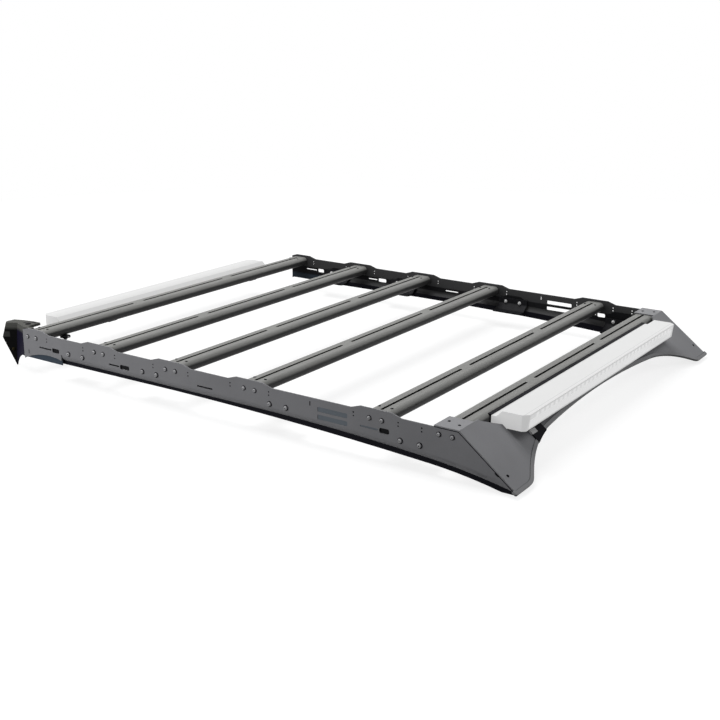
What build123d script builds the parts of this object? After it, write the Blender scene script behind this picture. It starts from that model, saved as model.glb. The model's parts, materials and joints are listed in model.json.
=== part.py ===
from build123d import *
import math
import os

# Low platform roof rack: two sheet side rails, six slotted crossbars, a sloped front
# fairing and two slim light bars. Millimetres, +X to the front, +Y to the left, +Z up.
# Everything is drawn about the rear crossbar's centre with z = 0 on the deck, and moved at
# the end so that the origin is under the middle of the rack, at its lowest point.

# Overall layout. Crossbars share the deck's length in these proportions, rear to front.
rack_width = 1180.0
deck_length = 1259.0
sheet = 3.0
bar_shares = (250.0, 245.0, 245.0, 347.0, 172.0)
bar_x = [deck_length * sum(bar_shares[:i]) / sum(bar_shares) for i in range(len(bar_shares) + 1)]

# Crossbar extrusion
bar_width = 58.0
bar_height = 27.0
bar_nose = 12.5
bar_wall = 2.5
port_spread = 16.0
port_outer = 4.6
port_bore = 2.6
slot_width = 7.0
slot_web = 41.0
slot_end_margin = 19.0

# Side rail outline
rail_rear_overhang = 35.0
rail_dip = -1.0
rail_hump = 7.0
hump_half = 40.0
hump_ramp = 25.0
rail_bottom = -61.0
rail_rear_drop = 17.0
arch_length = 147.0
arch_rise = 5.0
arch_peak = 20.0
lip_radius = 16.0
lip_turn = 50.0
lip_length = 6.0
roof_setback = 45.0
roof_drop = 16.6
rail_tuck = 6.7

# Rail windows, each from a crossbar's number and an offset: thin and wide parts' lengths
window_z = -38.0
thin_height = 4.0
wide_height = 12.0
window_bridge = 3.0
keyed_windows = ((1, 27.0, 46.0, 26.0), (2, 35.0, 36.0, 32.0), (5, -39.0, 46.0, 25.0))
short_window = (3, 85.0, 48.0)
plain_windows = ((5, -153.0, 24.0), (5, -153.0, 42.0))
plain_window_length = 80.0
plain_window_height = 11.0
twin_hole_offset = 57.0
twin_hole_radius = 1.8
twin_hole_step = 8.0
twin_hole_z = -15.0
small_slots = ((1, -16.0, -57.0), (4, 173.5, -15.0))
small_slot_length = 11.0
small_slot_width = 2.6
tab_slots = (117.0, 142.0)
tab_slot_depth = 3.0

# Rubber strip inside each rail's lower edge: depth under the deck along its length
seal_thickness = 5.0
seal_set_in = 12.3
seal_cover = 2.4
seal_heel = 73.0
seal_heel_reach = 20.0
seal_rear = 70.2
seal_shoulder = 90.5
seal_nose = 113.0
seal_nose_setback = 40.0
seal_end_setback = 8.0

# Dark liner against the inside of each rail, raised behind the foot bolts
liner = 2.0
liner_top = -31.0
liner_hump = 10.0
liner_hump_half = 22.0
liner_ramp = 19.0
liner_rear_bottom = -74.0
liner_margin = 8.0

# Roof feet, each from a crossbar's number and an offset
foot_places = ((1, 164.0), (3, -70.5), (4, 82.5), (5, 87.0))
foot_corner = 10.0
foot_width = 96.0
foot_thickness = 4.0
foot_leg = 17.0
foot_set_in = 23.0
foot_reach = 50.0
foot_drop = 17.0
foot_bend_radius = 6.0
foot_stud_radius = 4.5

# Front fairing. The arch's points are its distance in from the rack's side, then down the
# slope. The light's cut-out is wider than the light by this much at each end.
bend_gap = 31.0
fairing_slope = 37.7
fairing_length = 170.6
flange_length = 59.0
flange_width = 64.0
arch_centre = 74.5
arch_shoulder = (280.0, 88.5)
arch_hip = (100.0, 150.0)
arch_corner = (70.0, 169.0)
arch_corner_radius = 50.0
light_cut_depth = 49.0
light_cut_top = 55.0
light_cut_shoulder = 5.0
light_cut_waist = 36.0
light_cut_gap = 0.5
edge_trim_reach = 5.5
edge_trim_grip = 3.5
edge_trim_wall = 1.5
edge_trim_wrap = 4.0
cover_inset = 223.5
cover_width = 57.0
cover_top = 60.0
cover_bottom = 116.0
cover_wall = 2.6

# Light bars
light_end_inset = 138.0
light_depth = 85.0
light_height = 36.5
light_back_height = 22.0
light_ledge = 12.0
light_back_depth = 26.0
light_wall = 3.0
light_cap = 16.0
light_cap_corner = (13.0, 11.0)
light_lens = 5.0
light_gap = 3.0
front_light_top = 10.0
rear_light_top = 0.0
bracket_width = 32.0
bracket_reach = 46.0
bracket_inset = 140.0

# Rear corner bracket, in plan: x, then distance in from the rack's right side
corner_fold = (-82.0, 21.0)
corner_tip = (-94.0, 20.0)
corner_flare = (-108.0, 5.0)
corner_back = ((-118.0, 16.0), (-115.0, 40.0), (-88.0, 50.0), (-56.0, 57.0), (-32.0, 58.0))
corner_tab = ((-30.0, 14.0), (-6.0, 14.0))
corner_top = 7.0
corner_rail_drop = 76.0
corner_wing = 12.5
corner_wing_z = -34.0
corner_wall = 3.3
seat_gap = 0.3
pivot_radius = 4.5
pivot_at = (-48.0, 30.0)
arc_slot_radius = 19.0
arc_slot_width = 5.0
arc_slot_start = 60.0
arc_slot_sweep = 110.0

# Worked out from the sizes above
half_width = rack_width / 2
inner_half = half_width - sheet
bar_length = 2 * inner_half
light_length = 2 * (half_width - light_end_inset)
slot_length = (bar_length - 2 * slot_end_margin - 2 * slot_web) / 3
slot_pitch = slot_length + slot_web
bend_x = bar_x[-1] + bend_gap
slope = math.radians(fairing_slope)
tip_x = bend_x + fairing_length * math.cos(slope)
tip_z = sheet - fairing_length * math.sin(slope)
turn = math.radians(lip_turn)
lip_drop = lip_radius * math.sin(turn) + lip_length * math.cos(turn)
bend_line = rail_bottom + lip_drop
lip_start = arch_length - rail_rear_overhang
roof_straight_end = bar_x[3]
roof_shoulder = bar_x[5] - roof_setback
foot_x = [bar_x[bar - 1] + offset for bar, offset in foot_places]
corner_drop = seal_nose
far = 400.0


def bar_slots():
    """The three slots in a row, as one sketch along the bar."""
    slot = SlotOverall(slot_length, slot_width, rotation=90)
    return [Pos(0, i * slot_pitch) * slot for i in (-1, 0, 1)]


def crossbar(x):
    """Nosed tube with a ribbed screw port each side, slotted through its top wall."""
    outer = RectangleRounded(bar_width, bar_height, bar_nose)
    cavity = RectangleRounded(bar_width - 2 * bar_wall, bar_height - 2 * bar_wall, bar_nose - bar_wall)
    section = outer - cavity
    for side in (-1, 1):
        section += Pos(side * port_spread, 0) * Rectangle(bar_wall, bar_height - bar_wall)
        section += Pos(side * port_spread, 0) * Circle(port_outer)
    for side in (-1, 1):
        section -= Pos(side * port_spread, 0) * Circle(port_bore)
    bar = extrude(Plane.XZ * Pos(0, -bar_height / 2) * section, bar_length / 2, both=True)
    for slot in bar_slots():
        bar -= extrude(Pos(0, 0, -2 * bar_wall) * slot, 4 * bar_wall)
    return Pos(x, 0, 0) * bar


def bend_curve(start_x):
    """The line along the rail where its lower edge starts to roll in."""
    straight = Line((start_x, bend_line), (roof_straight_end, bend_line))
    shoulder = (roof_shoulder, bend_line - roof_drop)
    first = TangentArc((roof_straight_end, bend_line), shoulder, tangent=(1, 0))
    end = (tip_x + sheet, tip_z + lip_drop - rail_tuck)
    last = TangentArc(first @ 1, end, tangent=first % 1)
    return straight + first + last


def rail_top_points():
    """Top edge from rear to front, raised at each crossbar but the front one."""
    points = [(-rail_rear_overhang, rail_hump - 2 * sheet), (-hump_half + hump_ramp, rail_hump)]
    points += [(hump_half, rail_hump), (hump_half + hump_ramp, rail_dip)]
    for x in bar_x[1:-1]:
        points += [(x - hump_half - hump_ramp, rail_dip), (x - hump_half, rail_hump)]
        points += [(x + hump_half, rail_hump), (x + hump_half + hump_ramp, rail_dip)]
    points += [(bend_x - flange_length - sheet, rail_dip), (bend_x - flange_length, 0)]
    points += [(tip_x + sheet, 0)]
    return points


def above_fairing():
    """The space over the underside of the fairing, to trim the rails' front ends."""
    start = (bend_x - sheet * math.tan(slope / 2), 0)
    end = (start[0] + far * math.cos(slope), -far * math.sin(slope))
    outline = Polyline(start, end, (end[0], far), (start[0], far), close=True)
    return extrude(Plane.XZ * make_face(outline), rack_width, both=True)


def rail_windows():
    """The openings that the rail and the left rail's liner share."""
    windows = []
    for bar, offset, thin, wide in keyed_windows:
        start = bar_x[bar - 1] + offset
        windows.append(Pos(start + thin / 2, window_z) * SlotOverall(thin, thin_height))
        middle = start + thin + window_bridge + wide / 2
        windows.append(Pos(middle, window_z) * RectangleRounded(wide, wide_height, wide_height / 3))
    bar, offset, length = short_window
    middle = bar_x[bar - 1] + offset + length / 2
    windows.append(Pos(middle, window_z) * SlotOverall(length, thin_height))
    for bar, offset, depth in plain_windows:
        middle = bar_x[bar - 1] + offset + plain_window_length / 2
        window = RectangleRounded(plain_window_length, plain_window_height, plain_window_height / 4)
        windows.append(Pos(middle, -depth) * window)
    return windows


def small_openings():
    """Pairs of round holes beside the crossbars, and small upright and slanted slots."""
    holes = []
    beside = [bar_x[0] + twin_hole_offset, bar_x[-1] - twin_hole_offset]
    beside += [x + side * twin_hole_offset for x in bar_x[1:-1] for side in (-1, 1)]
    for x in beside:
        for step in (-twin_hole_step / 2, twin_hole_step / 2):
            holes.append(Pos(x, twin_hole_z + step) * Circle(twin_hole_radius))
    slot = SlotOverall(small_slot_length, small_slot_width)
    for bar, offset, z in small_slots:
        holes.append(Pos(bar_x[bar - 1] + offset, z) * Rot(0, 0, 90) * slot)
    for run in tab_slots:
        depth = sheet + tab_slot_depth
        x = bend_x + run * math.cos(slope) - depth * math.sin(slope)
        z = sheet - run * math.sin(slope) - depth * math.cos(slope)
        holes.append(Pos(x, z) * Rot(0, 0, -fairing_slope) * slot)
    return holes


def rail_web():
    """The flat of the rail with its windows, standing in the XZ plane."""
    curve = bend_curve(lip_start)
    top = Polyline(*rail_top_points())
    front = Line(top @ 1, curve @ 1)
    rear_foot = (-rail_rear_overhang, rail_bottom - rail_rear_drop)
    rear = Line(top @ 0, rear_foot)
    arch_end = (lip_start - sheet, rail_bottom)
    arch_mid = ((rear_foot[0] + arch_end[0]) / 2 + arch_peak, rail_bottom + arch_rise)
    arch = ThreePointArc(rear_foot, arch_mid, arch_end)
    relief = Polyline(arch_end, (lip_start - sheet, bend_line), (lip_start, bend_line))
    web = make_face(curve + top + front + rear + arch + relief)
    for opening in rail_windows() + small_openings():
        web -= opening
    return extrude(Plane.XZ * web, -sheet)


def lip_section():
    """Section of the rolled lower edge: x inboard, y up."""
    inner = lip_radius - sheet
    end_cos = math.cos(turn)
    end_sin = math.sin(turn)
    outer_end = (lip_radius - lip_radius * end_cos, -lip_radius * end_sin)
    inner_end = (lip_radius - inner * end_cos, -inner * end_sin)
    tip_shift = (lip_length * end_sin, -lip_length * end_cos)
    outer_tip = (outer_end[0] + tip_shift[0], outer_end[1] + tip_shift[1])
    inner_tip = (inner_end[0] + tip_shift[0], inner_end[1] + tip_shift[1])
    outer_arc = TangentArc((0, 0), outer_end, tangent=(0, -1))
    inner_arc = TangentArc((sheet, 0), inner_end, tangent=(0, -1))
    rest = Polyline(outer_end, outer_tip, inner_tip, inner_end)
    return make_face(outer_arc + inner_arc + rest + Line((0, 0), (sheet, 0)))


def along_rail(section):
    """A section swept along the bend line of the right rail, whose outer face is y = 0."""
    plane = Plane(origin=(lip_start, 0, bend_line), x_dir=(0, 1, 0), z_dir=(1, 0, 0))
    return sweep(plane * section, path=Plane.XZ * bend_curve(lip_start))


def bend_height(x):
    """Height of the bend line at a place along the rail."""
    run = x - roof_straight_end
    if run <= 0:
        return bend_line
    reach = roof_shoulder - roof_straight_end
    radius = (reach ** 2 + roof_drop ** 2) / (2 * roof_drop)
    return bend_line - radius + math.sqrt(radius ** 2 - run ** 2)


def rail_seal():
    """Rubber strip standing behind the rolled edge of the right rail, deeper to the front."""
    upper = Pos(0, seal_cover - lip_drop) * bend_curve(lip_start - seal_heel_reach)
    start = upper @ 0
    low_start = (start.X, -seal_heel)
    straight_end = (bar_x[2], -seal_rear)
    nose = (tip_x - seal_nose_setback, -seal_nose)
    tip = (tip_x - seal_end_setback, -seal_nose)
    first = TangentArc(straight_end, (roof_shoulder, -seal_shoulder), tangent=(1, 0))
    second = TangentArc(first @ 1, nose, tangent=first % 1)
    lower = Line(low_start, straight_end) + first + second + Line(nose, tip)
    outline = upper + lower + Line(start, low_start) + Line(tip, upper @ 1)
    strip = make_face(outline) - Pos(tip[0] + far / 2, 0) * Rectangle(far, far)
    return extrude(Plane.XZ.offset(half_width - seal_set_in) * strip, -seal_thickness)


def rail_liner(opened):
    """Dark sheet on the inside of the right rail, with the rail's windows or closed behind them."""
    rear = -rail_rear_overhang + sheet
    points = [(rear, liner_rear_bottom), (rear, liner_top)]
    for x in foot_x:
        half = liner_hump_half
        hump = liner_top + liner_hump
        points += [(x - half - liner_ramp, liner_top), (x - half, hump)]
        points += [(x + half, hump), (x + half + liner_ramp, liner_top)]
    points += [(bar_x[-1], liner_top), (bar_x[-1], -far)]
    points += [(lip_start, -far), (lip_start, bend_line), (lip_start - sheet, bend_line)]
    points += [(lip_start - sheet, liner_rear_bottom)]
    flat = make_face(Polyline(*points, close=True))
    curve = Pos(0, 1) * bend_curve(lip_start)
    start = curve @ 0
    end = curve @ 1
    under = Polyline((end.X, end.Y), (end.X, -2 * far), (start.X, -2 * far), (start.X, start.Y))
    flat -= make_face(curve + under)
    if opened:
        for opening in rail_windows():
            flat -= opening
    else:
        bar, offset, depth = plain_windows[0]
        middle = bar_x[bar - 1] + offset + plain_window_length / 2
        top = plain_window_height / 2 - depth + liner_margin / 2
        patch = Rectangle(plain_window_length + 2 * liner_margin, top - window_z)
        flat += Pos(middle, (top + window_z) / 2) * patch
    return extrude(Plane.XZ.offset(inner_half) * flat, -liner)


def foot(x):
    """Angle foot against the liner of the right rail, with a stud hole in its base."""
    half = foot_thickness / 2
    knee = bend_height(x)
    base = knee - foot_drop
    path = FilletPolyline(
        (half, knee + foot_leg),
        (half, knee),
        (half + foot_set_in, base),
        (foot_reach, base),
        radius=foot_bend_radius,
    )
    back = liner - inner_half
    plane = Plane(origin=(x, back, 0), x_dir=(0, 1, 0), z_dir=(1, 0, 0))
    strip = extrude(plane * trace(path, foot_thickness), foot_width / 2, both=True)
    strip = fillet(strip.edges().filter_by(Axis.Z).group_by(Axis.Y)[-1], foot_corner)
    hole_y = back + (foot_set_in + foot_reach) / 2 + half
    hole = Pos(x, hole_y, base) * Cylinder(foot_stud_radius, 4 * foot_thickness)
    return strip - hole


fairing_plane = Plane(
    origin=(bend_x, 0, sheet), x_dir=(0, 1, 0), z_dir=(math.sin(slope), 0, math.cos(slope))
)


def below_arch():
    """The region under the fairing's lower edge, in the fairing's plane."""
    sides = []
    for side in (-1, 1):
        centre = (0, -arch_centre)
        shoulder = (side * (half_width - arch_shoulder[0]), -arch_shoulder[1])
        hip = (side * (half_width - arch_hip[0]), -arch_hip[1])
        inner = TangentArc(centre, shoulder, tangent=(side, 0))
        outer = TangentArc(shoulder, hip, tangent=inner % 1)
        corner = (side * (half_width - arch_corner[0]), -arch_corner[1])
        tip = (side * rack_width, -fairing_length)
        sides += [inner, outer, Polyline(hip, corner, tip, (side * rack_width, -far))]
    floor = Line((-rack_width, -far), (rack_width, -far))
    region = make_face(Curve() + sides + floor)
    for side in (-1, 1):
        corner = Vector(side * (half_width - arch_corner[0]), -arch_corner[1])
        vertex = region.vertices().sort_by_distance(corner)[0]
        region = fillet(vertex, arch_corner_radius)
    return region


def through_fairing(sketch):
    """A sketch in the fairing's plane, cut through the sheet."""
    return extrude(fairing_plane * sketch, 4 * sheet, both=True)


def front_fairing(arch):
    """Folded sheet with end flanges, a light cut-out and an arched lower edge."""
    end = (bend_x + 2 * fairing_length * math.cos(slope), sheet - 2 * fairing_length * math.sin(slope))
    inset = (-sheet * math.sin(slope), -sheet * math.cos(slope))
    outline = Polyline(
        (bend_x - flange_length, sheet),
        (bend_x, sheet),
        end,
        (end[0] + inset[0], end[1] + inset[1]),
        (bend_x - sheet * math.tan(slope / 2), 0),
        (bend_x - flange_length, 0),
        close=True,
    )
    section = make_face(outline)
    blank = extrude(Plane.XZ * section, half_width, both=True)
    blank -= through_fairing(arch)
    middle = 2 * (half_width - flange_width)
    blank -= Pos(bend_x - 1 - far / 2, 0, 0) * Box(far, middle, far)
    half = light_length / 2
    cut = [(half + light_cut_top, 2 * sheet), (half + light_cut_top, -light_cut_shoulder)]
    cut += [(half + light_cut_gap, -light_cut_waist), (half + light_cut_gap, -light_cut_depth)]
    cut += [(-y, depth) for y, depth in reversed(cut)]
    cut = Polyline(*cut, close=True)
    blank -= through_fairing(make_face(cut))
    return blank


def edge_band(arch):
    """A strip along the lower edge, carried round both tips of the fairing."""
    past_edge = arch
    for side in (-1, 1):
        beside = Pos(side * (half_width + far / 2), edge_trim_wrap - fairing_length - far / 2)
        past_edge += beside * Rectangle(far, far)
    band = offset(past_edge, edge_trim_grip) - offset(past_edge, -edge_trim_reach)
    width = rack_width + 2 * edge_trim_reach
    depth = fairing_length + edge_trim_reach
    return band & (Pos(0, -depth / 2) * Rectangle(width, depth))


def on_fairing(sketch, wall):
    """A sketch in the fairing's plane, made as thick as the sheet and a wall each side."""
    return extrude(fairing_plane.offset(wall) * sketch, -(sheet + 2 * wall))


def cover_outline(arch):
    """The clip's outline, down to just past the rubber trim."""
    block = Pos(cover_inset - half_width, -(cover_top + cover_bottom) / 2)
    block = block * Rectangle(cover_width, cover_bottom - cover_top)
    return block - offset(arch, -(edge_trim_reach + edge_trim_wall))


def light_profile():
    """Section of a light bar: x from its back, z from its underside."""
    outline = Polyline(
        (0, 0),
        (0, light_back_height),
        (light_ledge, light_back_height),
        (light_back_depth, light_height),
        (light_depth, light_height),
        (light_depth - light_lens, 0),
        close=True,
    )
    return make_face(outline)


def light_bar(name):
    """Housing, lens and two caps of one light bar, its back at x = 0 and underside at z = 0."""
    profile = light_profile()
    opening_height = light_height - 2 * light_wall
    opening = Pos(light_depth, light_height / 2) * Rectangle(4 * light_lens, opening_height)
    housing = profile - offset(profile, -light_wall) - opening
    slab = Polyline(
        (light_depth - 3 * light_lens, light_wall),
        (light_depth - 3 * light_lens, light_height - light_wall),
        (light_depth - light_lens, light_height - light_wall),
        (light_depth - 2 * light_lens, light_wall),
        close=True,
    )
    half = light_length / 2 - light_cap
    back, out = light_cap_corner
    plan = Polyline(
        (0, 0),
        (light_depth, 0),
        (light_depth, light_cap - out),
        (light_depth - back, light_cap),
        (0, light_cap),
        close=True,
    )
    cap = extrude(Plane.XZ * profile, -light_cap) & extrude(make_face(plan), light_height)
    pieces = {}
    pieces[f"{name}_light_housing"] = extrude(Plane.XZ * housing, half, both=True)
    pieces[f"{name}_light_lens"] = extrude(Plane.XZ * make_face(slab), half, both=True)
    pieces[f"{name}_light_cap_left"] = Pos(0, half, 0) * cap
    pieces[f"{name}_light_cap_right"] = mirror(Pos(0, half, 0) * cap, Plane.XZ)
    return pieces


def light_bracket(light_bottom):
    """Angle under a crossbar, its upright against a light bar's back at x = 0."""
    leg = Pos(-bracket_reach / 2, 0, -bar_height - sheet / 2) * Box(bracket_reach, bracket_width, sheet)
    upright_top = light_bottom + light_back_height
    upright_bottom = min(light_bottom, -bar_height - sheet)
    height = upright_top - upright_bottom
    upright = Pos(-sheet / 2, 0, (upright_top + upright_bottom) / 2) * Box(sheet, bracket_width, height)
    return leg + upright


def upright_plane(start, end):
    """A vertical plane through two points of the plan, its x along them."""
    along = Vector(end[0] - start[0], end[1] - start[1], 0).normalized()
    normal = along.cross(Vector(0, 0, 1))
    return Plane(origin=(start[0], start[1], 0), x_dir=along, z_dir=normal)


def from_side(point):
    """A point of the plan from its x and its distance in from the rack's right side."""
    return (point[0], point[1] - half_width)


def corner_bracket():
    """Folded corner plate behind the right rail, with an arc slot about a pivot hole."""
    fold = from_side(corner_fold)
    flare = from_side(corner_flare)
    back = [from_side(point) for point in corner_back + corner_tab]
    pivot = from_side(pivot_at)
    rail_end = (-rail_rear_overhang - seat_gap, -inner_half + seat_gap)
    inner_end = (back[-1][0], rail_end[1])
    top = make_face(Polyline(inner_end, rail_end, fold, flare, *back, close=True))
    top -= Pos(*pivot) * Circle(pivot_radius)
    arc = CenterArc(pivot, arc_slot_radius, arc_slot_start, arc_slot_sweep)
    top -= SlotArc(arc, arc_slot_width)
    plate = extrude(top, corner_top)
    foot_fold = from_side(corner_tip)
    shift = (foot_fold[0] - fold[0], foot_fold[1] - fold[1])
    wing_run = math.dist(fold, flare)
    stretch = (wing_run + corner_wing) / wing_run
    wing_end = tuple(a + stretch * (b - a) for a, b in zip(fold, flare))
    wing_foot = (wing_end[0] + shift[0], wing_end[1] + shift[1])
    inner_y = back[1][1]
    levels = []
    for z, bend, end in ((corner_top, fold, wing_end), (-corner_drop, foot_fold, wing_foot)):
        plan = Polyline(rail_end, bend, end, (end[0], inner_y), (rail_end[0], inner_y), close=True)
        levels.append(Pos(0, 0, z) * make_face(plan))
    block = loft(levels, ruled=True)
    skirt = block - Pos(0, corner_wall, 0) * block
    near_run = math.dist(rail_end, foot_fold)
    side_arc = ThreePointArc(
        (near_run, -corner_drop), (near_run / 2, -corner_rail_drop - sheet), (0, -corner_rail_drop)
    )
    below = Polyline((0, -corner_rail_drop), (-far, -far), (near_run, -far), (near_run, -corner_drop))
    near = upright_plane(rail_end, foot_fold)
    skirt -= extrude(near * make_face(side_arc + below), far, both=True)
    wing = upright_plane(fold, flare)
    lean = wing.to_local_coords(Vector(*foot_fold, 0)).X
    beyond = Polyline(
        (lean, -corner_drop),
        (wing_run + corner_wing, corner_wing_z),
        (wing_run, corner_top),
        (wing_run, far),
        (far, far),
        (far, -far),
        (lean, -far),
        close=True,
    )
    skirt -= extrude(wing * make_face(beyond), far, both=True)
    return plate + skirt


parts = {}
cutter = above_fairing()
right_rail = Pos(0, -half_width, 0) * (rail_web() + along_rail(lip_section())) - cutter
right_seal = rail_seal()
parts["side_rail_right"] = right_rail
parts["side_rail_left"] = mirror(right_rail, Plane.XZ)
parts["rail_seal_right"] = right_seal
parts["rail_seal_left"] = mirror(right_seal, Plane.XZ)
parts["rail_liner_right"] = rail_liner(opened=False)
parts["rail_liner_left"] = mirror(rail_liner(opened=True), Plane.XZ)

for i, x in enumerate(bar_x):
    parts[f"crossbar_{i + 1}"] = crossbar(x)

for i, x in enumerate(foot_x):
    right_foot = foot(x)
    parts[f"foot_{i + 1}_right"] = right_foot
    parts[f"foot_{i + 1}_left"] = mirror(right_foot, Plane.XZ)

arch = below_arch()
fairing = front_fairing(arch)
cover = cover_outline(arch)
trim = on_fairing(edge_band(arch) - cover, edge_trim_wall) - fairing
for side in ("right", "left"):
    trim -= parts[f"side_rail_{side}"]
parts["front_fairing"] = fairing
parts["fairing_seal"] = trim
parts["lead_cover"] = on_fairing(cover, cover_wall) - fairing

light_offset = bar_width / 2 + light_gap
front_bottom = front_light_top - light_height
rear_bottom = rear_light_top - light_height
front_at = Pos(bar_x[-1] + light_offset, 0, 0)
for name, piece in light_bar("front").items():
    parts[name] = front_at * Pos(0, 0, front_bottom) * piece
for name, piece in light_bar("rear").items():
    parts[name] = Pos(-light_offset, 0, rear_bottom) * mirror(piece, Plane.YZ)
bracket_y = light_length / 2 - bracket_inset
for side, y in (("right", -bracket_y), ("left", bracket_y)):
    parts[f"front_light_bracket_{side}"] = front_at * Pos(0, y, 0) * light_bracket(front_bottom)
    rear_bracket = mirror(light_bracket(rear_bottom), Plane.YZ)
    parts[f"rear_light_bracket_{side}"] = Pos(-light_offset, y, 0) * rear_bracket

parts["corner_bracket"] = corner_bracket()

box = Compound(children=[part.moved(Location()) for part in parts.values()]).bounding_box()
home = Pos(-(box.min.X + box.max.X) / 2, 0, -box.min.Z)

os.makedirs("parts", exist_ok=True)
for name, part in parts.items():
    export_step(home * part, f"parts/{name}.step")
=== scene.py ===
import json
import math

import bmesh
import bpy
from mathutils import Matrix, Vector


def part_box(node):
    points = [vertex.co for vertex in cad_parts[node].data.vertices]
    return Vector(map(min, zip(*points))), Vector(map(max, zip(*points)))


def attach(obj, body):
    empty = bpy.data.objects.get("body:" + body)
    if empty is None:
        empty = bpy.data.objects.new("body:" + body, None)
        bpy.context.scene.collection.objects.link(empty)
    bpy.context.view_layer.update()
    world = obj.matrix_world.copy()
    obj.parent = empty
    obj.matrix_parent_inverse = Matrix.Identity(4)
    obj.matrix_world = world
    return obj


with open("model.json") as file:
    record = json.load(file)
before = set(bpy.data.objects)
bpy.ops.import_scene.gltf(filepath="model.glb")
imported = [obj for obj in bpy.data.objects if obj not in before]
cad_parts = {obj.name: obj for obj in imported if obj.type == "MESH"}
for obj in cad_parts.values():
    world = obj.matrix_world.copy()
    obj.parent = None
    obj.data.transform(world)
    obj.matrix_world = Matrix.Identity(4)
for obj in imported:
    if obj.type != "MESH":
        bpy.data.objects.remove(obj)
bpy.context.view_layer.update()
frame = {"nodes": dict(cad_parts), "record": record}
nodes = frame["nodes"]

# Where things are, from the frame: the deck's zero is the rear crossbar's centre, on its top
bar_count = 6
bar_names = [f"crossbar_{i + 1}" for i in range(bar_count)]
bar_centres = [(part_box(name)[0].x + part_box(name)[1].x) / 2 for name in bar_names]
rear_x = bar_centres[0]
bar_x = [x - rear_x for x in bar_centres]
bar_half_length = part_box("crossbar_1")[1].y
bar_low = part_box("crossbar_1")[0].z
deck_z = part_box("crossbar_1")[1].z
rail_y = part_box("side_rail_left")[1].y
light_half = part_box("front_light_housing")[1].y
light_low = {end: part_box(f"{end}_light_housing")[0].z for end in ("front", "rear")}

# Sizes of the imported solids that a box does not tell, in metres
sheet = 0.003
light_back = 0.032
light_crease = 0.076
bend_ahead = 0.031
fairing_slope = math.radians(37.7)
fairing_normal = (math.sin(fairing_slope), 0, math.cos(fairing_slope))
fairing_length = 0.1706
flange_length = 0.059
tab_slot_runs = (0.117, 0.142)
twin_hole_offset = 0.057
twin_hole_z = (-0.011, -0.019)
plain_window_start = -0.153
plain_window_z = (-0.024, -0.042)
plain_window_size = (0.08, 0.011)
thin_slot_start = -0.039
thin_slot_z = -0.038
thin_slot_size = (0.046, 0.004)


def at_deck(x, y, z=0.0):
    """A point measured from the deck's zero, in the part's frame."""
    return Vector((rear_x + x, y, deck_z + z))


# Camera, as fitted to the photograph
camera_place = (2.3248, -2.4862, 0.8159)
camera_azimuth = math.radians(33.99)
camera_elevation = math.radians(17.17)
camera_roll = math.radians(0.42)
camera_lens = 56.55
camera_sensor = 36


def make_camera():
    """The camera at its fitted place, aimed by its azimuth, elevation and roll."""
    sin_a = math.sin(camera_azimuth)
    cos_a = math.cos(camera_azimuth)
    sin_e = math.sin(camera_elevation)
    cos_e = math.cos(camera_elevation)
    forward = Vector((-sin_a * cos_e, cos_a * cos_e, -sin_e))
    level = forward.cross(Vector((0, 0, 1))).normalized()
    upright = level.cross(forward)
    right = level * math.cos(camera_roll) + upright * math.sin(camera_roll)
    up = upright * math.cos(camera_roll) - level * math.sin(camera_roll)
    data = bpy.data.cameras.new("camera")
    data.lens = camera_lens
    data.sensor_width = camera_sensor
    camera = bpy.data.objects.new("camera", data)
    axes = Matrix((right, up, -forward)).transposed().to_4x4()
    axes.translation = at_deck(*camera_place)
    camera.matrix_world = axes
    bpy.context.scene.collection.objects.link(camera)
    bpy.context.scene.camera = camera


make_camera()


# Materials
noise_roughness = 0.55
inward_from = -0.15
inward_full = -0.3
# Ambient occlusion for the painted shade in crevices: its samples, and the values where the shade
# starts and where it is full
crevice_samples = 6
crevice_open = 0.85
crevice_deep = 0.4

# A Mix node's colour sockets, which share their names with those of its other kinds
mix_first = 6
mix_second = 7
mix_result = 2


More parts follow.
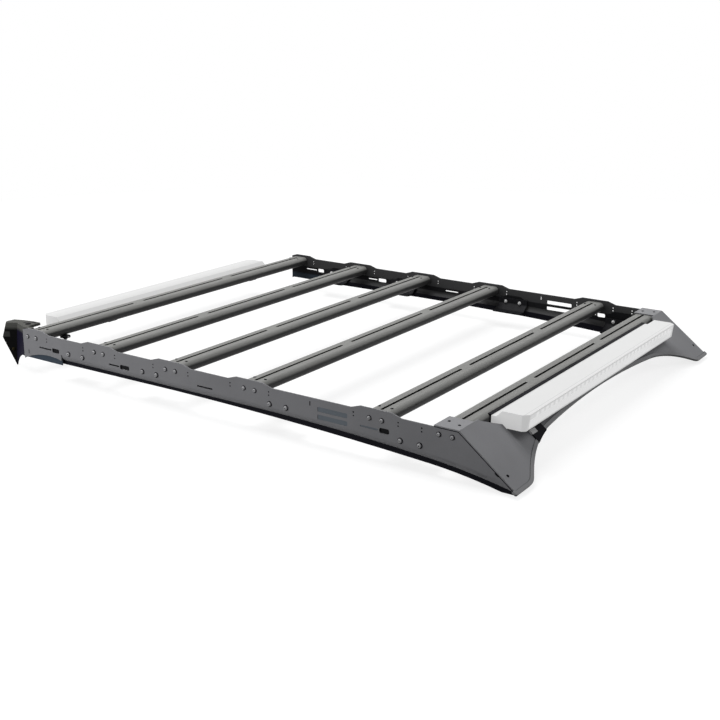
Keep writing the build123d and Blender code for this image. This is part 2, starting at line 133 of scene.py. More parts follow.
class Nodes:
    """A material's node tree with short ways to add and join nodes."""

    def __init__(self, name):
        self.material = bpy.data.materials.new(name)
        self.material.use_nodes = True
        self.tree = self.material.node_tree
        self.shader = self.tree.nodes["Principled BSDF"]
        self.spot = self.tree.nodes.new("ShaderNodeNewGeometry")

    def add(self, kind, **values):
        """A new node, with its sockets or settings given by name."""
        node = self.tree.nodes.new(kind)
        for key, value in values.items():
            if key in node.inputs:
                node.inputs[key].default_value = value
            else:
                setattr(node, key, value)
        return node

    def join(self, source, output, target, entry):
        """Links a node's output to another node's entry."""
        self.tree.links.new(source.outputs[output], target.inputs[entry])

    def noise(self, scale, detail):
        """Noise at the place of each point in the part's frame, in metres."""
        kind = "ShaderNodeTexNoise"
        noise = self.add(kind, Scale=scale, Detail=detail, Roughness=noise_roughness)
        self.join(self.spot, "Position", noise, "Vector")
        return noise

    def ramp(self, source, output, low, high, at=(0.3, 0.7)):
        """A colour from low to high as the source goes between the two places."""
        ramp = self.add("ShaderNodeValToRGB")
        ramp.color_ramp.elements[0].position = at[0]
        ramp.color_ramp.elements[1].position = at[1]
        ramp.color_ramp.elements[0].color = (*low, 1)
        ramp.color_ramp.elements[1].color = (*high, 1)
        self.join(source, output, ramp, "Fac")
        return ramp

    def along(self, output, axis, start, end):
        """0 to 1 as a coordinate of the place or the normal goes from start to end."""
        parts = self.add("ShaderNodeSeparateXYZ")
        self.join(self.spot, output, parts, "Vector")
        fade = self.add("ShaderNodeMapRange")
        fade.inputs["From Min"].default_value = start
        fade.inputs["From Max"].default_value = end
        self.join(parts, axis, fade, "Value")
        return fade.outputs["Result"]

    def by_height(self, start, end):
        """0 to 1 as the height above the deck goes from start to end."""
        return self.along("Position", "Z", deck_z + start, deck_z + end)

    def by_length(self, start, end):
        """0 to 1 as the distance ahead of the rear crossbar goes from start to end."""
        return self.along("Position", "X", rear_x + start, rear_x + end)

    def both(self, first, second):
        """The product of two masks."""
        product = self.add("ShaderNodeMath", operation="MULTIPLY")
        self.tree.links.new(first, product.inputs[0])
        self.tree.links.new(second, product.inputs[1])
        return product.outputs[0]

    def facing_inward(self):
        """1 where a face looks towards the rack's middle from either side."""
        product = self.add("ShaderNodeVectorMath", operation="MULTIPLY")
        self.join(self.spot, "Normal", product, 0)
        self.join(self.spot, "Position", product, 1)
        parts = self.add("ShaderNodeSeparateXYZ")
        self.join(product, "Vector", parts, "Vector")
        fade = self.add("ShaderNodeMapRange")
        fade.inputs["From Min"].default_value = inward_from
        fade.inputs["From Max"].default_value = inward_full
        self.join(parts, "Y", fade, "Value")
        return fade.outputs["Result"]

    def tint(self, mask, colour):
        """Mixes another colour into the base colour where the mask is 1."""
        entry = self.shader.inputs["Base Color"]
        mix = self.add("ShaderNodeMix", data_type="RGBA")
        self.tree.links.new(mask, mix.inputs["Factor"])
        self.tree.links.new(entry.links[0].from_socket, mix.inputs[mix_first])
        mix.inputs[mix_second].default_value = (*colour, 1)
        self.tree.links.new(mix.outputs[mix_result], entry)

    def paint_crevice_shade(self, colour, reach=0.003):
        """Paints shade into seams, slots and the corners under fasteners, where ambient occlusion
        finds them close.
        """
        near = self.add("ShaderNodeAmbientOcclusion", samples=crevice_samples)
        near.inputs["Distance"].default_value = reach
        fade = self.add("ShaderNodeMapRange")
        fade.inputs["From Min"].default_value = crevice_open
        fade.inputs["From Max"].default_value = crevice_deep
        self.join(near, "AO", fade, "Value")
        self.tint(fade.outputs["Result"], colour)

    def bump(self, source, output, strength, distance):
        """Raises the surface where the source is high."""
        bump = self.add("ShaderNodeBump", Strength=strength, Distance=distance)
        self.join(source, output, bump, "Height")
        self.join(bump, "Normal", self.shader, "Normal")


def shade(colour, factor):
    """A colour made lighter or darker by a factor."""
    return tuple(min(1.0, part * factor) for part in colour)


cloud_scale = 9.0
cloud_detail = 3.0
peel_detail = 2.0
peel_share = 0.7
peel_strength = 0.2
grains_per_wave = 4
tone_places = (0.6, 1.1)
gloss_swing = 0.05


def coated(name, colour, roughness, grain=0.0004, spread=0.06, specular=0.15, glow=0.0):
    """A coat with fine orange peel, a faint cloudy tone and small changes of gloss."""
    made = Nodes(name)
    made.shader.inputs["Specular IOR Level"].default_value = specular
    made.shader.inputs["Emission Color"].default_value = (1, 1, 1, 1)
    made.shader.inputs["Emission Strength"].default_value = glow
    cloud = made.noise(cloud_scale, cloud_detail)
    peel = made.noise(1 / (grains_per_wave * grain), peel_detail)
    speck = made.add("ShaderNodeMath", operation="MULTIPLY_ADD")
    made.join(peel, "Fac", speck, 0)
    speck.inputs[1].default_value = peel_share
    made.join(cloud, "Fac", speck, 2)
    dark = shade(colour, 1 - spread)
    light = shade(colour, 1 + spread)
    tone = made.ramp(speck, "Value", dark, light, at=tone_places)
    made.join(tone, "Color", made.shader, "Base Color")
    smooth = (roughness - gloss_swing,) * 3
    rough = (roughness + gloss_swing,) * 3
    gloss = made.ramp(peel, "Fac", smooth, rough)
    made.join(gloss, "Color", made.shader, "Roughness")
    made.bump(peel, "Fac", peel_strength, grain)
    return made


seam_shadow = (0.02, 0.02, 0.022)


def bar_coat():
    """The crossbars' coat, with painted shade on the walls below their noses."""
    wall_shade = (0.045, 0.045, 0.045)
    slot_shadow = (0.02, 0.02, 0.02)
    made = coated("bar_powder_coat", (0.235, 0.235, 0.225), 0.5)
    # Painted shade: faces that tilt downwards get darker
    walls = made.along("Normal", "Z", 0.5, 0.15)
    made.tint(walls, wall_shade)
    made.paint_crevice_shade(slot_shadow)
    return made


def rail_coat():
    """The rails' coat, with painted shade on the inner faces."""
    inner_shade = (0.036, 0.036, 0.037)
    made = coated("rail_powder_coat", (0.22, 0.22, 0.23), 0.55)
    # Painted shade on the faces that look towards the rack's middle
    made.tint(made.facing_inward(), inner_shade)
    made.paint_crevice_shade(seam_shadow)
    return made


def fairing_coat():
    """The fairing's coat, a little lighter than the rails', with a soft shade under the light."""
    light_shadow = (0.07, 0.07, 0.075)
    made = coated("fairing_powder_coat", (0.26, 0.26, 0.27), 0.55)
    made.paint_crevice_shade(light_shadow, reach=0.035)
    made.paint_crevice_shade(seam_shadow)
    return made


def bracket_coat():
    """Nearly black, with painted light: navy on the faces beside the rail that look to the near
    side, and a grey top plate; also a small grey patch.
    """
    navy = (0.006, 0.005, 0.015)
    plate_light = (0.095, 0.095, 0.088)
    patch_tone = (0.045, 0.045, 0.043)
    corner_shadow = (0.002, 0.002, 0.002)
    made = coated("bracket_coat", (0.003, 0.003, 0.003), 0.5, spread=0.2, specular=0.03)
    # Painted light: the faces beside the rail that look to the near side are navy
    outward = made.along("Normal", "Y", -0.6, -0.9)
    navy_lit_faces = made.both(outward, made.along("Normal", "X", 0.1, -0.1))
    made.tint(navy_lit_faces, navy)
    # Painted light: the top plate, lit from above, is grey
    plate = made.by_height(-0.014, -0.004)
    made.tint(plate, plate_light)
    patch_bottom = made.by_height(-0.034, -0.032)
    patch_top = made.by_height(-0.017, -0.019)
    patch_edge = made.by_length(-0.101, -0.103)
    patch = made.both(patch_edge, made.both(patch_bottom, patch_top))
    made.tint(patch, patch_tone)
    made.paint_crevice_shade(corner_shadow, reach=0.006)
    return made


def liner_coat():
    """Black sheet whose low rear pad is blue grey."""
    pad_tone = (0.05, 0.065, 0.085)
    made = coated("liner_coat", (0.009, 0.009, 0.01), 0.6, spread=0.2, specular=0.05)
    low = made.by_height(-0.052, -0.06)
    rear = made.by_length(0.13, 0.12)
    made.tint(made.both(low, rear), pad_tone)
    return made


def trim_rubber():
    """Grey edge rubber, darker where it goes round the fairing's tips."""
    tip_tone = (0.04, 0.04, 0.042)
    edge_shadow = (0.03, 0.03, 0.03)
    made = coated("grey_rubber", (0.27, 0.27, 0.275), 0.65, grain=0.0005, spread=0.08)
    tips = made.along("Position", "Z", 0.012, 0.004)
    made.tint(tips, tip_tone)
    made.paint_crevice_shade(edge_shadow)
    return made


crease_places = (bar_x[-1] + light_back + light_crease, -light_back - light_crease)
crease_inner = 0.0006
crease_outer = 0.0009


def light_coat():
    """Pale housing with a painted glow and painted shade along the fine crease in each top; the
    rear one has painted shade beside the bar.
    """
    crease_shade = (0.22, 0.22, 0.22)
    bar_side_shade = (0.22, 0.22, 0.215)
    # The housing's glow is painted light
    made = coated("light_housing_coat", (0.38, 0.38, 0.376), 0.5, spread=0.015, glow=0.41)
    upward = made.along("Normal", "Z", 0.9, 0.95)
    # Painted shade: a dark line along the crease in each top
    for middle in crease_places:
        start = made.by_length(middle - crease_outer, middle - crease_inner)
        end = made.by_length(middle + crease_outer, middle + crease_inner)
        made.tint(made.both(upward, made.both(start, end)), crease_shade)
    # Painted shade on the rear light's top beside the bar
    behind = made.by_length(0, -light_back)
    towards_bar = made.by_length(crease_places[1], -light_back)
    made.tint(made.both(behind, towards_bar), bar_side_shade)
    return made


def black_coat(name, colour, roughness, specular, grain=0.0004):
    """A dull coat for black parts, with a more uneven tone."""
    return coated(name, colour, roughness, grain=grain, spread=0.2, specular=specular)


def clear_plastic(name, colour, roughness, glow):
    """The pale look that the photo gives the lights' clear parts."""
    return coated(name, colour, roughness, spread=0.02, glow=glow)


def bare_metal(name, colour, roughness):
    """A fastener's bright plating."""
    return coated(name, colour, roughness, spread=0.1, specular=0.5)


# Each simple coat gives its name, colour and roughness, then its specular level or its glow
materials = {
    "bar_coat": bar_coat(),
    "rail_coat": rail_coat(),
    "fairing": fairing_coat(),
    "bracket": bracket_coat(),
    "liner_black": liner_coat(),
    "grey_rubber": trim_rubber(),
    "light_white": light_coat(),
    "black_rubber": black_coat("black_rubber", (0.006, 0.006, 0.009), 0.7, 0.05, grain=0.0006),
    "foot_black": black_coat("foot_black_coat", (0.012, 0.012, 0.014), 0.45, 0.06),
    "bracket_black": black_coat("black_plastic", (0.004, 0.004, 0.006), 0.5, 0.03),
    "brown_bolt": black_coat("brown_bolt", (0.022, 0.018, 0.008), 0.5, 0.03),
    "light_lens": clear_plastic("light_lens_clear", (0.2, 0.2, 0.2), 0.3, 0.58),
    "light_strip": clear_plastic("light_strip_clear", (0.2, 0.2, 0.2), 0.3, 0.5),
    "light_bead": clear_plastic("light_bead_clear", (0.3, 0.3, 0.3), 0.15, 0.58),
    "steel": bare_metal("bolt_steel", (0.36, 0.36, 0.37), 0.3),
    "zinc": bare_metal("nut_zinc", (0.8, 0.8, 0.8), 0.35),
    "pale_tab": coated("pale_tab_rubber", (0.5, 0.5, 0.5), 0.6),
    "blue_grey": coated("window_infill_coat", (0.14, 0.16, 0.18), 0.6, spread=0.12),
}
own_material = {"corner_bracket": "bracket", "front_fairing": "fairing"}

for part in frame["record"]["subparts"]:
    name = part["node"]
    mesh = nodes[name].data
    mesh.materials.clear()
    mesh.materials.append(materials[own_material.get(name, part["material_slot"])].material)


# Pieces
sharp_angle = math.radians(30)
half_flat = math.pi / 6


def add_piece(name, work, material):
    """A finished piece on the rack, smooth but for its sharp edges."""
    mesh = bpy.data.meshes.new(name)
    bmesh.ops.recalc_face_normals(work, faces=work.faces)
    work.to_mesh(mesh)
    work.free()
    mesh.shade_smooth()
    mesh.set_sharp_from_angle(angle=sharp_angle)
    mesh.materials.append(materials[material].material)
    piece = bpy.data.objects.new(name, mesh)
    bpy.context.scene.collection.objects.link(piece)
    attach(piece, "root")


def lathe(work, profile, turn, sides=24, hexagons=()):
    """A turned form from (radius, height) pairs. Rings listed in hexagons are six-sided."""
    rings = []
    for i, (radius, height) in enumerate(profile):
        points = []
        for j in range(sides):
            angle = 2 * math.pi * j / sides
            reach = radius
            if i in hexagons:
                part = (angle + half_flat) % (2 * half_flat) - half_flat
                reach = radius * math.cos(half_flat) / math.cos(part)
            point = Vector((reach * math.cos(angle), reach * math.sin(angle), height))
            points.append(work.verts.new(turn @ point))
        rings.append(points)
    for low, high in zip(rings, rings[1:]):
        for j in range(sides):
            k = (j + 1) % sides
            work.faces.new((low[j], low[k], high[k], high[j]))
    work.faces.new(list(reversed(rings[0])))
    work.faces.new(rings[-1])


def slab(work, outline, turn, depth):
    """A flat plate from an outline, as deep as given along the transform's +Z."""
    low = [work.verts.new(turn @ Vector((x, y, 0))) for x, y in outline]
    high = [work.verts.new(turn @ Vector((x, y, depth))) for x, y in outline]
    count = len(outline)
    work.faces.new(list(reversed(low)))
    work.faces.new(high)
    for i in range(count):
        j = (i + 1) % count
        work.faces.new((low[i], low[j], high[j], high[i]))


def round_box(width, height, radius, steps=4):
    """The outline of a rectangle with rounded corners, about its middle."""
    points = []
    for i, (side_x, side_y) in enumerate(((1, 1), (-1, 1), (-1, -1), (1, -1))):
        x = side_x * (width / 2 - radius)
        y = side_y * (height / 2 - radius)
        for step in range(steps + 1):
            angle = (i + step / steps) * math.pi / 2
            points.append((x + radius * math.cos(angle), y + radius * math.sin(angle)))
    return points


def facing(place, direction, spin=0.0):
    """A transform that puts +Z along the direction at the place."""
    turn = Vector(direction).to_track_quat("Z", "Y").to_matrix().to_4x4()
    return Matrix.Translation(place) @ turn @ Matrix.Rotation(spin, 4, "Z")


def on_side(x, side, z, depth=0.0):
    """A transform on a rail's outer face: x forward, y up, +Z into the rack."""
    place = at_deck(x, side * (rail_y - depth), z)
    axes = Matrix(((1, 0, 0), (0, 0, 1), (0, -side, 0))).transposed().to_4x4()
    axes.translation = place
    return axes


def down_fairing(run, above=0.0):
    """Deck x and z of a place down the fairing's outer face, or above it."""
    x = bar_x[-1] + bend_ahead + run * math.cos(fairing_slope) + above * fairing_normal[0]
    return x, sheet - run * math.sin(fairing_slope) + above * fairing_normal[2]


washer_height = 0.0011
washer_chamfer = 0.0003
nut_base = 0.001
nut_bevel = 0.0006
nut_chamfer = 0.0007
stud_shoulder = 0.0025
stud_end = 0.0035


def button_head(work, place, direction, radius, spin=0.0):
    """A button head with a hex socket, seated on its washer's face."""
    turn = facing(place, direction, spin)
    height = radius * 0.62
    socket = radius * 0.42
    base = washer_height
    socket_rings = (6, 7)
    profile = [
        (radius, base),
        (radius, base + height * 0.15),
        (radius * 0.93, base + height * 0.5),
        (radius * 0.78, base + height * 0.8),
        (radius * 0.58, base + height * 0.97),
        (socket * 1.12, base + height),
        (socket, base + height * 0.97),
        (socket * 0.98, base + height * 0.35),
    ]
    lathe(work, profile, turn, hexagons=socket_rings)


def washer(work, place, direction, radius):
    """A flat washer with a chamfered rim."""
    shoulder = washer_height - washer_chamfer
    profile = [(radius, 0), (radius, shoulder), (radius - washer_chamfer, washer_height)]
    lathe(work, profile, facing(place, direction))


def hex_nut(work, place, direction, radius, spin=0.0):
    """A hex nut on its round base, with chamfered corners and the end of its bolt."""
    height = radius * 0.85
    base = radius * 1.25
    stud = radius * 0.48
    nut_rings = (3, 4)
    profile = [
        (base, 0),
        (base, nut_base),
        (radius * 0.93, nut_base),
        (radius, nut_base + nut_bevel),
        (radius, height),
        (radius * 0.9, height + nut_chamfer),
        (stud, height + nut_chamfer),
        (stud, height + stud_shoulder),
        (stud * 0.7, height + stud_end),
    ]
    lathe(work, profile, facing(place, direction, spin), hexagons=nut_rings)


# Bolts through the rails: deck places, and radii of heads, washers and nuts
rail_bolt_spread = 0.016
rail_bolt_z = -0.0155
rail_head = 0.0045
rail_washer = 0.0058
foot_bolts_at = ((0.138, -0.038), (0.190, -0.038), (0.401, -0.036), (0.448, -0.036))
foot_bolts_at += ((0.799, -0.0395), (0.846, -0.0395), (1.150, -0.0505), (1.198, -0.0505))
foot_head = 0.0052
foot_washer = 0.0068
foot_nut = 0.0042
foot_nut_depth = 0.009

# Radians of spin for each metre along the rack, so that neighbours' sockets differ
bolt_spin = 50
nut_spin = 80
screw_spin = 70
flange_screw_spin = 30


def rail_bolts():
    """Two bolts through each rail into each crossbar's screw ports, and two into each foot."""
    places = []
    for x in bar_x:
        for shift in (-rail_bolt_spread, rail_bolt_spread):
            places.append((x + shift, rail_bolt_z, rail_head, rail_washer))
    for x, z in foot_bolts_at:
        places.append((x, z, foot_head, foot_washer))
    heads = bmesh.new()
    washers = bmesh.new()
    for x, z, head, rim in places:
        for side in (-1, 1):
            place = at_deck(x, side * rail_y, z)
            button_head(heads, place, (0, side, 0), head, spin=x * bolt_spin)
            washer(washers, place, (0, side, 0), rim)
    add_piece("rail_bolt_heads", heads, "steel")
    # The washers are black as painted shadow round the rim of each head
    add_piece("rail_bolt_washers", washers, "bracket_black")


def foot_nuts():
    """Nuts on the inside of each foot's upright."""
    work = bmesh.new()
    for x, z in foot_bolts_at:
        for side in (-1, 1):
            place = at_deck(x, side * (rail_y - foot_nut_depth), z)
            hex_nut(work, place, (0, -side, 0), foot_nut, spin=x * nut_spin)
    add_piece("foot_nuts", work, "zinc")


# Low screws' sections: radius and height of the rim, the top and the hex socket
deck_screw_profile = ((0.0034, -0.0002), (0.0034, 0.0004), (0.0028, 0.0009))
deck_screw_profile += ((0.0014, 0.0009), (0.0013, 0.0003))
deck_screw_sides = 18
low_socket = (3, 4)


def deck_screw(work, place, direction, spin):
    """A small low screw with a hex socket."""
    turn = facing(place, direction, spin)
    lathe(work, deck_screw_profile, turn, sides=deck_screw_sides, hexagons=low_socket)


bar_screw_inset = 0.037
fairing_screws = ((1.246, 0.553), (1.276, 0.563))
face_screw = (0.132, 0.571)


def deck_screws():
    """Small screws by the ends of each crossbar, in the fairing's flanges and near its tips."""
    work = bmesh.new()
    for side in (-1, 1):
        for x in bar_centres:
            for shift in (-rail_bolt_spread, rail_bolt_spread):
                place = Vector((x + shift, side * (bar_half_length - bar_screw_inset), deck_z))
                deck_screw(work, place, (0, 0, 1), x * screw_spin + shift * bolt_spin)
        for x, y in fairing_screws:
            place = at_deck(x, side * y, sheet)
            deck_screw(work, place, (0, 0, 1), x * flange_screw_spin)
        run, y = face_screw
        x, z = down_fairing(run)
        deck_screw(work, at_deck(x, side * y, z), fairing_normal, side)
    add_piece("deck_screws", work, "bracket_black")


# Plugs sit a little below the rail's outer face; small slots are in deck x and z
plug_depth = 0.0012
plug_height = 0.0016
plug_radius = 0.0018
plug_sides = 16
slot_width = 0.0026
slot_length = 0.011
slot_corner = 0.0012
upright_slots = ((-0.016, -0.057), (bar_x[3] + 0.1735, -0.015))
tab_slot_inset = 0.006


def hole_plugs():
    """Dark blanking plugs in the right rail's small holes and slots."""
    work = bmesh.new()
    for i, x in enumerate(bar_x):
        for way in (-1, 1):
            if (i == 0 and way == -1) or (i == bar_count - 1 and way == 1):
                continue
            for z in twin_hole_z:
                turn = on_side(x + way * twin_hole_offset, -1, z, plug_depth)
                lathe(work, [(plug_radius, 0), (plug_radius, plug_height)], turn, plug_sides)
    upright = round_box(slot_width, slot_length, slot_corner)
    for x, z in upright_slots:
        slab(work, upright, on_side(x, -1, z, plug_depth), plug_height)
    lying = round_box(slot_length, slot_width, slot_corner)
    for run in tab_slot_runs:
        x, z = down_fairing(run, -tab_slot_inset)
        turn = on_side(x, -1, z, plug_depth) @ Matrix.Rotation(-fairing_slope, 4, "Z")
        slab(work, lying, turn, plug_height)
    add_piece("rail_hole_plugs", work, "bracket_black")


infill_depth = 0.0008
infill_thickness = 0.0018
window_corner = 0.00275
thin_slot_corner = 0.0019


def window_infills():
    """Blue grey plates in the right rail's plain windows and its front thin slot."""
    work = bmesh.new()
    for z in plain_window_z:
        x = bar_x[4] + plain_window_start + plain_window_size[0] / 2
        outline = round_box(*plain_window_size, window_corner)
        slab(work, outline, on_side(x, -1, z, infill_depth), infill_thickness)
    x = bar_x[4] + thin_slot_start + thin_slot_size[0] / 2
    outline = round_box(*thin_slot_size, thin_slot_corner)
    slab(work, outline, on_side(x, -1, thin_slot_z, infill_depth), infill_thickness)
    add_piece("window_infills", work, "blue_grey")


seam_height = 0.0016
seam_proud = 0.0004


def fairing_seam_shadows():
    """A thin black strip, painted shadow in the gap where the fairing's flange and slope meet
    each rail.
    """
    work = bmesh.new()
    bend_x = bar_x[-1] + bend_ahead
    start = bend_x - flange_length
    half_slope = math.tan(fairing_slope / 2)
    upper = bend_x - sheet * half_slope
    lower = upper - seam_height * half_slope
    end = down_fairing(fairing_length, -sheet)
    end_low = down_fairing(fairing_length, -sheet - seam_height)
    outline = [(start, 0), (upper, 0), end, end_low, (lower, -seam_height), (start, -seam_height)]
    for side in (-1, 1):
        slab(work, outline, on_side(0, side, 0, -seam_proud), 2 * seam_proud)
    add_piece("fairing_seam_shadows", work, "bracket_black")


# Strips' sections as distance from the light's back and height, and the row of lenses
upper_strip = ((0.0778, 0.0225), (0.0828, 0.0225), (0.0843, 0.0333), (0.0798, 0.0333))
lower_strip = ((0.0752, 0.0032), (0.0790, 0.0032), (0.0824, 0.0208), (0.0776, 0.0208))
bead_pitch = 0.0236
bead_at = (0.0833, 0.0278)
bead_slope = (0.99, 0.0, -0.136)
bead_size = (0.012, 0.0075)
bead_corner = 0.002
bead_height = 0.0012


def light_fronts():
    """Two clear strips along each light's front, the upper one with a row of small lenses."""
    upper = bmesh.new()
    lower = bmesh.new()
    beads = bmesh.new()
    bead = round_box(*bead_size, bead_corner)
    front = (bar_x[-1] + light_back, light_low["front"] - deck_z, 1)
    rear = (-light_back, light_low["rear"] - deck_z, -1)
    for x, z, way in (front, rear):
        axes = Matrix(((way, 0, 0), (0, 0, 1), (0, -way, 0))).transposed().to_4x4()
        axes.translation = at_deck(x, way * light_half, z)
        slab(upper, upper_strip, axes, 2 * light_half)
        slab(lower, lower_strip, axes, 2 * light_half)
        count = int(2 * light_half / bead_pitch) - 1
        for i in range(count):
            y = (i - (count - 1) / 2) * bead_pitch
            place = at_deck(x + way * bead_at[0], y, z + bead_at[1])
            direction = (way * bead_slope[0], 0, bead_slope[2])
            slab(beads, bead, facing(place, direction), bead_height)
    add_piece("light_upper_strips", upper, "light_strip")
    add_piece("light_lower_strips", lower, "light_lens")
    add_piece("light_beads", beads, "light_bead")


# Section of the black strip that paints the shadow between the front crossbar and the front light
gap_top = -0.002
gap_bottom = -0.022
gap_top_start = 0.0226
gap_bottom_start = 0.0275
gap_overhang = 0.016


def light_gap_shadow_strip():
    """A black strip closing the gap between the front crossbar and the front light, as painted
    shadow in that gap.
    """
    work = bmesh.new()
    x = bar_x[-1]
    outline = [(x + gap_top_start, gap_top), (x + light_back, gap_top)]
    outline += [(x + light_back, gap_bottom), (x + gap_bottom_start, gap_bottom)]
    half = light_half + gap_overhang
    slab(work, outline, on_side(0, -1, 0, rail_y - half), 2 * half)
    add_piece("light_gap_shadow_strip", work, "bracket_black")


wing_bolt = (-0.0974, -0.5745, -0.0677)
wing_normal = (0.52, -0.85, 0.0)
wing_head = 0.004
wing_washer = 0.0048
wing_spin = 0.4


def bracket_wing_bolt():
    """A brown bolt in the corner bracket's outer wall."""
    work = bmesh.new()
    place = at_deck(*wing_bolt)
    button_head(work, place, wing_normal, wing_head, spin=wing_spin)
    washer(work, place, wing_normal, wing_washer)
    add_piece("bracket_wing_bolt", work, "brown_bolt")


pivot_bolt = (-0.048, -0.560, 0.007)
pivot_profile = ((0.0075, -0.0005), (0.0075, 0.0008), (0.0068, 0.0013))
pivot_profile += ((0.0026, 0.0013), (0.0024, 0.0004))


def bracket_pivot_bolt():
    """The low bolt in the corner bracket's pivot hole."""
    work = bmesh.new()
    lathe(work, pivot_profile, facing(at_deck(*pivot_bolt), (0, 0, 1)), hexagons=low_socket)
    add_piece("bracket_pivot_bolt", work, "bracket_black")


arc_radius = 0.019
arc_half_width = 0.0025
arc_start = 60
arc_sweep = 110
arc_steps = 24
filler_z = 0.0045
filler_height = 0.0023


def bracket_slot_shade_strip():
    """A black strip in the bracket's arc slot, painted shade that keeps the floor from showing.
    """
    work = bmesh.new()
    outline = []
    for radius, way in ((arc_radius - arc_half_width, 1), (arc_radius + arc_half_width, -1)):
        for i in range(arc_steps + 1)[::way]:
            angle = math.radians(arc_start + arc_sweep * i / arc_steps)
            outline.append((radius * math.cos(angle), radius * math.sin(angle)))
    turn = Matrix.Translation(at_deck(pivot_bolt[0], pivot_bolt[1], filler_z))
    slab(work, outline, turn, filler_height)
    add_piece("bracket_slot_shade_strip", work, "bracket_black")


clamp_at = (0.024, -0.498)
clamp_width = 0.022
clamp_corner = 0.004
clamp_height = 0.006
clamp_nut = 0.0055
clamp_head = 0.0026


def rear_bar_clamp():
    """A small black clamp with its nut, under the rear crossbar by the right rail."""
    block = bmesh.new()
    fasteners = bmesh.new()
    down = (0, 0, -1)
    top = bar_low - deck_z
    x, y = clamp_at
    outline = round_box(clamp_width, clamp_width, clamp_corner)
    slab(block, outline, facing(at_deck(x, y, top), down), clamp_height)
    hex_nut(fasteners, at_deck(x, y, top - clamp_height), down, clamp_nut)
    front = at_deck(x + clamp_width / 2, y, top - clamp_height / 2)
    button_head(fasteners, front, (1, 0, 0), clamp_head)
    add_piece("rear_bar_clamp", block, "foot_black")
    add_piece("rear_bar_clamp_nut", fasteners, "steel")


tab_run = (0.079, 0.091)
tab_y = (-0.396, -0.372)
tab_corner = 0.002
tab_height = 0.0042


def lead_tab():
    """A pale grey tab on the fairing, beside the black clip."""
    work = bmesh.new()
    x, z = down_fairing((tab_run[0] + tab_run[1]) / 2)
    turn = facing(at_deck(x, (tab_y[0] + tab_y[1]) / 2, z), fairing_normal)
    outline = round_box(tab_y[1] - tab_y[0], tab_run[1] - tab_run[0], tab_corner)
    slab(work, outline, turn, tab_height)
    add_piece("lead_tab", work, "pale_tab")


rail_bolts()
bracket_wing_bolt()
bracket_pivot_bolt()
bracket_slot_shade_strip()
rear_bar_clamp()
lead_tab()
fairing_seam_shadows()
light_fronts()
light_gap_shadow_strip()
foot_nuts()
deck_screws()
hole_plugs()
window_infills()


# Light and setting
def area_light(name, place, aim, size, power, shines=True):
    """A square soft lamp, which reflections may leave out."""
    data = bpy.data.lights.new(name, "AREA")
    data.energy = power
    data.size = size
    light = bpy.data.objects.new(name, data)
    light.location = place
    direction = Vector(aim) - Vector(place)
    light.rotation_euler = direction.to_track_quat("-Z", "Y").to_euler()
    light.visible_glossy = shines
    bpy.context.scene.collection.objects.link(light)


area_light("overhead", (-0.8, 0.0, 3.4), (0, 0, 0), size=2.4, power=82)
area_light("near_side", (-1.4, -2.6, 0.9), (0, 0, 0.05), size=1.6, power=42)
area_light("front", (2.3, -0.2, 2.5), (0.2, 0, 0.05), size=1.4, power=16)
area_light("far_side", (-0.2, 2.9, 0.9), (0, 0, 0.05), size=1.6, power=26, shines=False)


def seen_factor(tree):
    """1 for what the camera, a reflection or a clear part sees, else 0."""
    rays = tree.nodes.new("ShaderNodeLightPath")
    factor = rays.outputs["Is Camera Ray"]
    for name in ("Is Glossy Ray", "Is Transmission Ray"):
        largest = tree.nodes.new("ShaderNodeMath")
        largest.operation = "MAXIMUM"
        tree.links.new(factor, largest.inputs[0])
        tree.links.new(rays.outputs[name], largest.inputs[1])
        factor = largest.outputs[0]
    return factor


def mix_seen(tree, hidden, shown, output):
    """Joins two shaders: one that lights the object and one that is seen."""
    mix = tree.nodes.new("ShaderNodeMixShader")
    tree.links.new(seen_factor(tree), mix.inputs[0])
    tree.links.new(hidden.outputs[0], mix.inputs[1])
    tree.links.new(shown.outputs[0], mix.inputs[2])
    tree.links.new(mix.outputs[0], output.inputs[0])


sky_colour = (0.92, 0.95, 1.0, 1)
sky_strength = 0.12


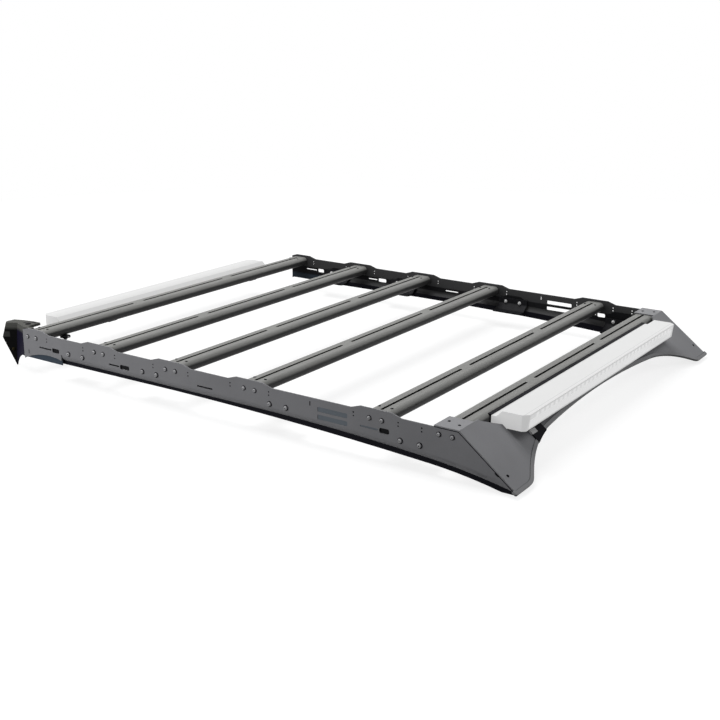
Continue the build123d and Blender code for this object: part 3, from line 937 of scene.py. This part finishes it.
def make_world():
    """Pale even sky light, seen as plain white."""
    world = bpy.data.worlds.new("studio")
    bpy.context.scene.world = world
    world.use_nodes = True
    tree = world.node_tree
    sky = tree.nodes["Background"]
    sky.inputs["Color"].default_value = sky_colour
    sky.inputs["Strength"].default_value = sky_strength
    white = tree.nodes.new("ShaderNodeBackground")
    white.inputs["Color"].default_value = (1, 1, 1, 1)
    white.inputs["Strength"].default_value = 1.0
    mix_seen(tree, sky, white, tree.nodes["World Output"])


floor_radius = 3.2
floor_segments = 96
floor_glow = (0.8, 1.0)
floor_fade = (1.2, 2.8)
floor_dull = (0.1, 0.1, 0.1, 1)
floor_pale = (0.3, 0.3, 0.3, 1)


def make_floor():
    """A round pale floor that keeps the shadow and fades to white at its rim."""
    work = bmesh.new()
    bmesh.ops.create_circle(work, cap_ends=True, segments=floor_segments, radius=floor_radius)
    mesh = bpy.data.meshes.new("floor")
    work.to_mesh(mesh)
    work.free()
    floor = bpy.data.objects.new("floor", mesh)
    bpy.context.scene.collection.objects.link(floor)
    material = bpy.data.materials.new("floor_paint")
    material.use_nodes = True
    tree = material.node_tree
    tree.nodes.clear()
    output = tree.nodes.new("ShaderNodeOutputMaterial")
    dull = tree.nodes.new("ShaderNodeBsdfDiffuse")
    dull.inputs["Color"].default_value = floor_dull
    pale = tree.nodes.new("ShaderNodeBsdfDiffuse")
    pale.inputs["Color"].default_value = floor_pale
    spot = tree.nodes.new("ShaderNodeNewGeometry")
    reach = tree.nodes.new("ShaderNodeVectorMath")
    reach.operation = "LENGTH"
    tree.links.new(spot.outputs["Position"], reach.inputs[0])
    fade = tree.nodes.new("ShaderNodeMapRange")
    fade.inputs["From Min"].default_value = floor_fade[0]
    fade.inputs["From Max"].default_value = floor_fade[1]
    fade.inputs["To Min"].default_value = floor_glow[0]
    fade.inputs["To Max"].default_value = floor_glow[1]
    tree.links.new(reach.outputs["Value"], fade.inputs["Value"])
    glow = tree.nodes.new("ShaderNodeEmission")
    tree.links.new(fade.outputs["Result"], glow.inputs["Strength"])
    seen = tree.nodes.new("ShaderNodeAddShader")
    tree.links.new(pale.outputs[0], seen.inputs[0])
    tree.links.new(glow.outputs[0], seen.inputs[1])
    mix_seen(tree, dull, seen, output)
    mesh.materials.append(material)


make_world()
make_floor()
bpy.context.scene.view_settings.view_transform = "Standard"
